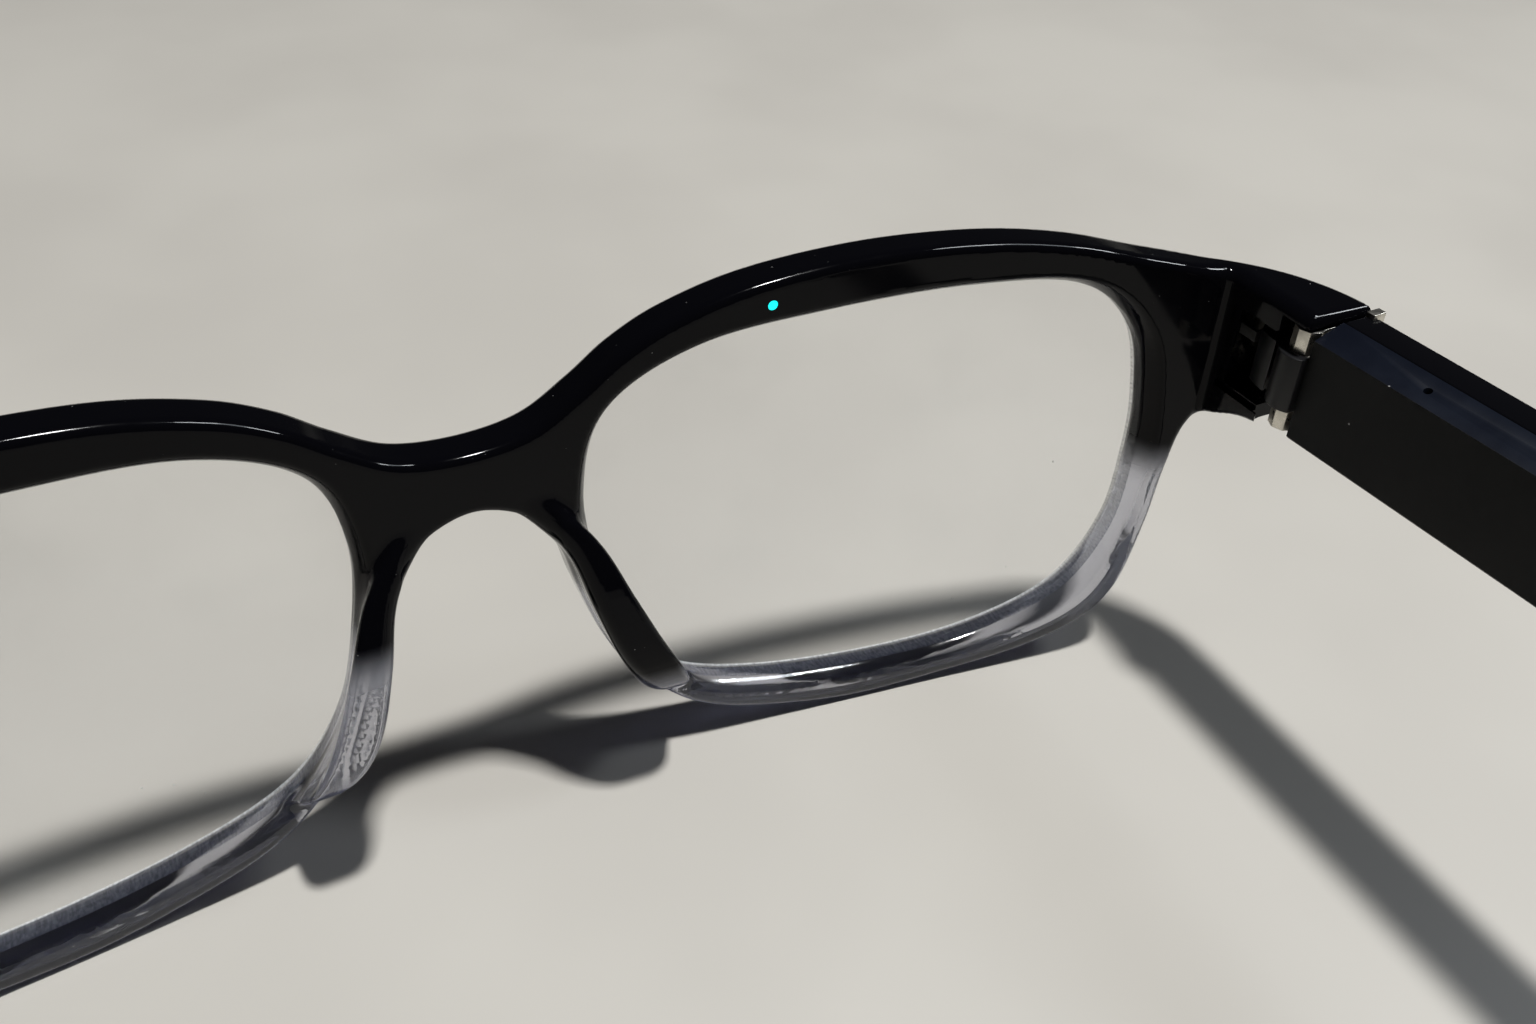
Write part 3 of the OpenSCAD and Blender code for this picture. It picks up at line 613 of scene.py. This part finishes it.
def finish_node(name, obj):
    """The CAD node's material, and a small round on its edges."""
    obj.data.materials.clear()
    obj.data.materials.append(LOOKS[SLOTS[name]])
    weld = obj.modifiers.new("weld", "WELD")
    weld.merge_threshold = 1e-6
    width = next((w for key, w in EDGE_MM.items() if name.startswith(key)), 0.04)
    flat = obj.modifiers.new("flat", "DECIMATE")
    flat.decimate_type = "DISSOLVE"
    flat.angle_limit = math.radians(0.4)
    bevel = obj.modifiers.new("edges", "BEVEL")
    bevel.width = width * MM
    bevel.segments = 3
    bevel.limit_method = "ANGLE"
    bevel.angle_limit = math.radians(28)
    bevel.use_clamp_overlap = True
    bevel.harden_normals = True
    obj.data.shade_smooth()


for node_name, node_object in frame["nodes"].items():
    finish_node(node_name, node_object)

# ---------------------------------------------------------------- front
half_loop = np.concatenate([curve([(-3.4, 7.9)] + LOWER_HALF, 12, False)[12:],
                            curve(UPPER_HALF + [(-5, 15.2)], 12, False)[:-12]])
OUTER = Outline(np.concatenate([half_loop, mirrored(half_loop)[:-1]]), (-2, -27), (78, 29))
EYE = Outline(curve(EYE_POINTS, 12, True), (-38, -29), (44, 31))
end_curve = curve(END_EDGE, 8, False)
OUTER_R = BOW_R + FRONT_T
CORNER_X = HALF_W - CORNER_R
CORNER_Y = BOW_R - math.sqrt((OUTER_R - CORNER_R) ** 2 - CORNER_X ** 2)
SEAM_X = CORNER_X * OUTER_R / (OUTER_R - CORNER_R)
FLARE = 1.0
FRONT_FLARE = 1.1
# Height of a nose pad's rear face above the front's rear face, by Z
PAD_RISE = curve([(-30, -20), (-20, -6), (-17, -2), (-15.5, -0.4), (-13.8, 1.4), (-11.5, 3.6),
                  (-8.5, 4.8), (-5, 4.7), (0, 3.5), (4.5, 1.9), (8, 0.6), (11, -0.9), (14, -4),
                  (20, -12), (30, -30)], 6, False)
PAD_W = 2.2
# How fast a pad's face falls towards the middle, and how fast its underside leans out
PAD_FALL, PAD_LEAN = 0.45, 0.42
PAD_FALL_X = 6.5
# Rounding radii: rear edges (rims, and more on the end pieces), front edges, eye edges
REAR_R, END_EXTRA_R, FORE_R = 0.8, 0.6, 1.3
EYE_REAR_R, EYE_FORE_R = 0.35, 0.5


def pad_field(x, forward, height, outer):
    """A nose pad: a rounded blade that stands to the rear along the nasal side."""
    rise = np.interp(height, PAD_RISE[:, 0], PAD_RISE[:, 1])
    rise = rise - PAD_FALL * np.maximum(PAD_FALL_X - x, 0)
    rearward = -forward
    face = (rearward - rise) / 1.1
    under = (-outer - PAD_W - PAD_LEAN * rearward) / 1.08
    return both(both(outer, face, 1.4), under, 0.9)


def front_field(x, y, z):
    """The front as a solid: negative inside."""
    x = np.abs(x)
    outer = OUTER.at(x, z)
    eye = EYE.at(x - LENS_X, z)
    forward = np.hypot(x, BOW_R - y) - BOW_R
    corner = np.where(y < CORNER_Y, np.hypot(x - CORNER_X, y - CORNER_Y) - CORNER_R,
                      x - HALF_W)
    fore = np.where(x < CORNER_X + (CORNER_Y - y) * SEAM_X / OUTER_R, forward - FRONT_T,
                    corner)
    rear = either(-forward, END_IN_X - x, 0.5)
    hole = (FLARE * np.clip(1 - forward / LENS_SET, 0, 1) ** 1.4 - eye
            + FRONT_FLARE * np.clip((forward - 2.5) / (FRONT_T - 2.5), 0, 1) ** 1.3)
    end = y - END_Y
    soft = REAR_R + END_EXTRA_R * np.clip((x - 62) / 5, 0, 1)
    body = np.maximum(both(rear, outer, soft), both(fore, outer, FORE_R))
    body = np.maximum(body, np.maximum(both(rear, hole, EYE_REAR_R),
                                       both(fore, hole, EYE_FORE_R)))
    body = np.maximum(body, np.maximum(both(end, outer, 0.85), both(end, fore, 0.9)))
    low = (np.interp(y, end_curve[:, 0], end_curve[:, 1]) - z) * 0.8
    body = both(body, either(low, x - END_IN_X, 1.2), 0.9)
    pad = pad_field(x, forward, z, outer)
    pad = np.where((x < 26) & (forward > -8), pad, 9.0)
    return either(body, pad, 0.9)


def box_mesh(low, high, side):
    """The eight corners and six faces of a box beside one hinge."""
    low, high = np.array(low, float), np.array(high, float)
    points = [[(low, high)[i][0] * side, (low, high)[j][1], (low, high)[k][2]]
              for i in (0, 1) for j in (0, 1) for k in (0, 1)]
    faces = [(0, 1, 3, 2), (4, 6, 7, 5), (0, 4, 5, 1), (2, 3, 7, 6), (0, 2, 6, 4), (1, 5, 7, 3)]
    return points, faces


def cylinder_mesh(center, radius, z0, z1, side, count=48):
    ring = [(side * (center[0] + radius * math.cos(2 * math.pi * i / count)),
             center[1] + radius * math.sin(2 * math.pi * i / count)) for i in range(count)]
    points = [(*p, z0) for p in ring] + [(*p, z1) for p in ring]
    faces = [(i, (i + 1) % count, count + (i + 1) % count, count + i) for i in range(count)]
    faces += [tuple(range(count))[::-1], tuple(range(count, 2 * count))]
    return points, faces


def cut(obj, cutters):
    """Takes solid shapes out of an object's mesh, by another solver if one loses the mesh."""
    for points, faces in cutters:
        mesh = bpy.data.meshes.new("cutter")
        mesh.from_pydata(stand(points).tolist(), [], faces)
        solid = bmesh.new()
        solid.from_mesh(mesh)
        bmesh.ops.recalc_face_normals(solid, faces=solid.faces)
        solid.to_mesh(mesh)
        solid.free()
        tool = bpy.data.objects.new("cutter", mesh)
        bpy.context.scene.collection.objects.link(tool)
        whole = obj.data
        for solver in ("EXACT", "MANIFOLD", "FAST"):
            change = obj.modifiers.new("cut", "BOOLEAN")
            change.object = tool
            change.operation = "DIFFERENCE"
            change.solver = solver
            apply_modifiers(obj)
            if len(obj.data.polygons) > len(whole.polygons) / 2:
                break
            obj.data = whole
        bpy.data.objects.remove(tool)


def apply_modifiers(obj):
    bpy.context.view_layer.update()
    shaped = obj.evaluated_get(bpy.context.evaluated_depsgraph_get())
    made = bpy.data.meshes.new_from_object(shaped)
    obj.modifiers.clear()
    obj.data = made


def pocket_cutters(side):
    """The hinge's pocket: a shallow step, its cavity, the lug slots and the relief."""
    return [box_mesh((65, 7.7, 8.5), (END_IN_X + 0.5, POCKET_END_Y, 16.9), side),
            box_mesh((64, 8.3, 9), (POCKET_OUT_X, POCKET_END_Y, 16.4), side),
            box_mesh((PIN[0] - LUG_R, 12.6, 0), (POCKET_OUT_X, POCKET_END_Y, SLOT_TOP), side),
            cylinder_mesh(PIN, RELIEF_R, 0, LIP_Z, side)]


def shade_by_field(mesh):
    """Normals straight from the front's field, but flat on the faces cut into it."""
    spots = np.empty(len(mesh.vertices) * 3)
    mesh.vertices.foreach_get("co", spots)
    spots = (spots.reshape(-1, 3) - ORIGIN) @ STAND / MM
    h = 0.03
    slope = np.stack([front_field(*(spots + h * e).T) - front_field(*(spots - h * e).T)
                      for e in np.eye(3)], 1)
    slope = (slope / np.maximum(np.linalg.norm(slope, axis=1), 1e-9)[:, None]) @ STAND.T
    corner = np.empty(len(mesh.loops), int)
    mesh.loops.foreach_get("vertex_index", corner)
    flat = np.empty(len(mesh.polygons) * 3)
    mesh.polygons.foreach_get("normal", flat)
    sizes = np.empty(len(mesh.polygons), int)
    mesh.polygons.foreach_get("loop_total", sizes)
    flat = np.repeat(flat.reshape(-1, 3), sizes, 0)
    normals = slope[corner]
    off = (normals * flat).sum(1) < 0.8
    normals[off] = flat[off]
    mesh.shade_smooth()
    mesh.normals_split_custom_set(normals.tolist())


def light_cutter():
    """The round hole for the status light, along Y."""
    points, faces = cylinder_mesh((LIGHT_X, LIGHT_Z), LIGHT_R, -0.6, 2.0, 1, 32)
    return [(x, y, z) for x, z, y in points], faces


def make_front():
    step = NET_STEP
    points, quads = net(front_field, (-HALF_W - 1, -5.2, -24), (HALF_W + 1, END_Y + 0.6, 26),
                        step)
    front = piece("front_shell", points, quads, "front", FRAME_PLASTIC,
                  replaces=("front_frame",))
    cut(front, pocket_cutters(RIGHT) + pocket_cutters(LEFT) + [light_cutter()])
    shade_by_field(front.data)


make_front()

# ---------------------------------------------------------------- lenses
lens_loop = curve(EYE_POINTS, 10, True)


def grown(loop, distance):
    ahead = np.roll(loop, -1, 0) - np.roll(loop, 1, 0)
    normal = np.stack([ahead[:, 1], -ahead[:, 0]], 1)
    return loop + distance * normal / np.linalg.norm(normal, axis=1)[:, None]


def bow_y(x, forward):
    return BOW_R - np.sqrt((BOW_R + forward) ** 2 - x ** 2)


def make_lens(side, name):
    """A bowed lens with a bevelled edge that sits in the rim's groove."""
    rings = 14
    edge = grown(lens_loop, GROOVE - 0.05)
    count = len(edge)
    points, faces = [], []
    for face_set in (0, 1):
        forward = LENS_SET + LENS_T * face_set
        points.append((side * LENS_X, bow_y(LENS_X, forward), 0))
        for k in range(1, rings + 1):
            flat = edge * (k / rings) * (0.985 if k == rings else 1)
            x = LENS_X + flat[:, 0]
            points += list(zip(side * x, bow_y(x, forward), flat[:, 1]))
    stride = 1 + rings * count
    for face_set in (0, 1):
        base = face_set * stride
        for i in range(count):
            j = (i + 1) % count
            faces.append((base, base + 1 + i, base + 1 + j)[::1 if face_set else -1])
            for k in range(rings - 1):
                a, b = base + 1 + k * count, base + 1 + (k + 1) * count
                faces.append((a + i, b + i, b + j, a + j)[::1 if face_set else -1])
    middle = len(points)
    x = LENS_X + edge[:, 0]
    points += list(zip(side * x, bow_y(x, LENS_SET + LENS_T / 2), edge[:, 1]))
    last = 1 + (rings - 1) * count
    for i in range(count):
        j = (i + 1) % count
        faces.append((last + i, middle + i, middle + j, last + j))
        faces.append((middle + i, stride + last + i, stride + last + j, middle + j))
    lens = piece(name, points, faces, "front", LOOKS["lens_clear"],
                 replaces=(name.replace("lens_glass", "lens"),), flip=side < 0)
    lens.data.set_sharp_from_angle(angle=math.radians(25))
    lens.data.materials.append(LENS_EDGE)
    for face in lens.data.polygons[-2 * count:]:
        face.material_index = 1


make_lens(RIGHT, "lens_glass_right")
make_lens(LEFT, "lens_glass_left")


# ---------------------------------------------------------------- ear tips
def section_radius(angle, corners):
    """Distance from the middle of a convex outline to its edge, along an angle."""
    best = np.full(len(angle), 1e9)
    direction = np.stack([np.cos(angle), np.sin(angle)], 1)
    for a, b in zip(corners, np.roll(corners, -1, 0)):
        normal = np.array([b[1] - a[1], a[0] - b[0]])
        normal /= np.linalg.norm(normal)
        facing = direction @ normal
        reach = np.where(facing > 1e-6, (a @ normal) / np.maximum(facing, 1e-6), 1e9)
        best = np.minimum(best, reach)
    return best


def ear_tip(side, name, body):
    """A tip that starts with the housing's bevelled section and rounds off as it bends."""
    around = 72
    angle = 2 * math.pi * np.arange(around) / around
    middle = np.array([TEMPLE_T / 2, TEMPLE_MID_Z])
    corners = np.array([[0.0, TEMPLE_Z0 + 0.3], [0.3, TEMPLE_Z0],
                        [TEMPLE_T - 0.8, TEMPLE_Z0], [TEMPLE_T, TEMPLE_Z0 + 0.8],
                        [TEMPLE_T, TEMPLE_Z1 - 0.8], [TEMPLE_T - 0.8, TEMPLE_Z1],
                        [BAND_W, TEMPLE_Z1], [0.0, TEMPLE_Z1 - BAND_DROP]]) - middle
    start = section_radius(angle, corners)
    bend_len = BEND_R * BEND_ANGLE
    total = bend_len + TAIL_LEN
    stations = [(d, 1.0) for d in np.linspace(0, total, 46)]
    stations += [(total + TIP_END_R * math.sin(a) * 0.995, math.cos(a))
                 for a in np.linspace(0, math.pi / 2, 12)[1:]]
    points = []
    for distance, shrink in stations:
        turn = min(distance / BEND_R, BEND_ANGLE)
        extra = max(distance - bend_len, 0)
        s = HOUSING_LEN + BEND_R * math.sin(turn) + extra * math.cos(BEND_ANGLE)
        z = TEMPLE_MID_Z - BEND_R * (1 - math.cos(turn)) - extra * math.sin(BEND_ANGLE)
        share = min(turn / BEND_ANGLE * 0.5 + 0.5 * extra / TAIL_LEN, 1)
        half_h = TIP_HALF_H + (TIP_END_R - TIP_HALF_H) * (0.5 - 0.5 * math.cos(math.pi * share))
        half_t = TIP_HALF_T - TIP_THINS * min(distance / total, 1)
        soft = min(distance / TIP_BLEND_LEN, 1)
        soft = soft * soft * (3 - 2 * soft)
        oval = 1 / ((np.abs(np.cos(angle)) / half_t) ** TIP_POWER
                    + (np.abs(np.sin(angle)) / half_h) ** TIP_POWER) ** (1 / TIP_POWER)
        reach = start * (1 - soft) + oval * soft
        across = reach * np.cos(angle) * (shrink ** 0.8)
        along = reach * np.sin(angle) * shrink
        for a, b in zip(across, along):
            points.append((TEMPLE_T / 2 + a, s + b * math.sin(turn), z + b * math.cos(turn)))
    count = len(stations)
    faces = [(k * around + i, (k + 1) * around + i, (k + 1) * around + (i + 1) % around,
              k * around + (i + 1) % around) for k in range(count - 1) for i in range(around)]
    faces.append(tuple(range(around)))
    faces.append(tuple(range((count - 1) * around, count * around))[::-1])
    made = piece(name, from_temple(points, side), faces, body, TIP_SATIN,
                 replaces=("ear_tip_" + name.split("_")[-1],), flip=side < 0)
    clean = bmesh.new()
    clean.from_mesh(made.data)
    bmesh.ops.remove_doubles(clean, verts=clean.verts, dist=2e-6)
    bmesh.ops.recalc_face_normals(clean, faces=clean.faces)
    clean.to_mesh(made.data)
    clean.free()
    made.data.set_sharp_from_angle(angle=math.radians(35))


ear_tip(RIGHT, "tip_shell_right", "temple_right")
ear_tip(LEFT, "tip_shell_left", "temple_left")


# ---------------------------------------------------------------- floor, lights, camera
def floor():
    points = [(x, y, 0) for x, y in ((-6, -6), (6, -6), (6, 6), (-6, 6))]
    mesh = bpy.data.meshes.new("floor")
    mesh.from_pydata(points, [], [(0, 1, 2, 3)])
    made, tree, bsdf = shader("pale_floor", Roughness=0.55)
    wash = noise(tree, 60, 3)
    tree.links.new(mix(tree, spread(tree, wash, 0.3, 0.7), (0.56, 0.535, 0.485),
                       (0.615, 0.59, 0.535)), bsdf.inputs["Base Color"])
    mesh.materials.append(made)
    obj = bpy.data.objects.new("floor", mesh)
    bpy.context.scene.collection.objects.link(obj)


def area_light(name, spot, target, size, power, tone=(1, 1, 1), fills=True):
    """A rectangular light; one that doesn't fill shows only in shiny surfaces."""
    lamp = bpy.data.lights.new(name, "AREA")
    lamp.shape = "RECTANGLE"
    lamp.size, lamp.size_y = size
    lamp.energy = power
    lamp.color = tone
    obj = bpy.data.objects.new(name, lamp)
    bpy.context.scene.collection.objects.link(obj)
    obj.visible_diffuse = fills
    obj.location = spot
    obj.rotation_mode = "QUATERNION"
    obj.rotation_quaternion = (Vector(target) - Vector(spot)).to_track_quat("-Z", "Y")


def camera():
    """Above the wearer's side, looking forward and down over the bridge."""
    eye = Vector((20.34, 10.24, 104.57)) * MM
    forward = Vector((-0.37175, -0.66387, -0.64891)).normalized()
    down = Vector((0.24863, 0.60227, -0.75859))
    right = down.cross(forward).normalized()
    up = right.cross(forward).normalized()
    data = bpy.data.cameras.new("camera")
    data.sensor_width = 36
    data.lens = 33.34
    data.clip_start = 0.005
    obj = bpy.data.objects.new("camera", data)
    bpy.context.scene.collection.objects.link(obj)
    axes = Matrix((right, up, -forward)).transposed()
    obj.matrix_world = Matrix.Translation(eye) @ axes.to_4x4()
    bpy.context.scene.camera = obj


AIM = (-0.02, -0.05, 0)
WINDOW_SPOT = (-0.76, 0.12, 0.92)
floor()
area_light("key", (-0.14, 0.03, 0.95), AIM, (0.075, 0.075), 8.6)
area_light("window", WINDOW_SPOT, AIM, (0.2, 0.2), 1.3, (0.85, 0.92, 1.0))
area_light("glint", WINDOW_SPOT, AIM, (0.13, 0.5), 11.0, (0.92, 0.96, 1.0), False)
world = bpy.data.worlds.new("studio")
bpy.context.scene.world = world
world.use_nodes = True
world.node_tree.nodes["Background"].inputs["Color"].default_value = (0.9, 0.93, 1.0, 1)
world.node_tree.nodes["Background"].inputs["Strength"].default_value = 0.022
bpy.context.scene.view_settings.view_transform = "Standard"
camera()
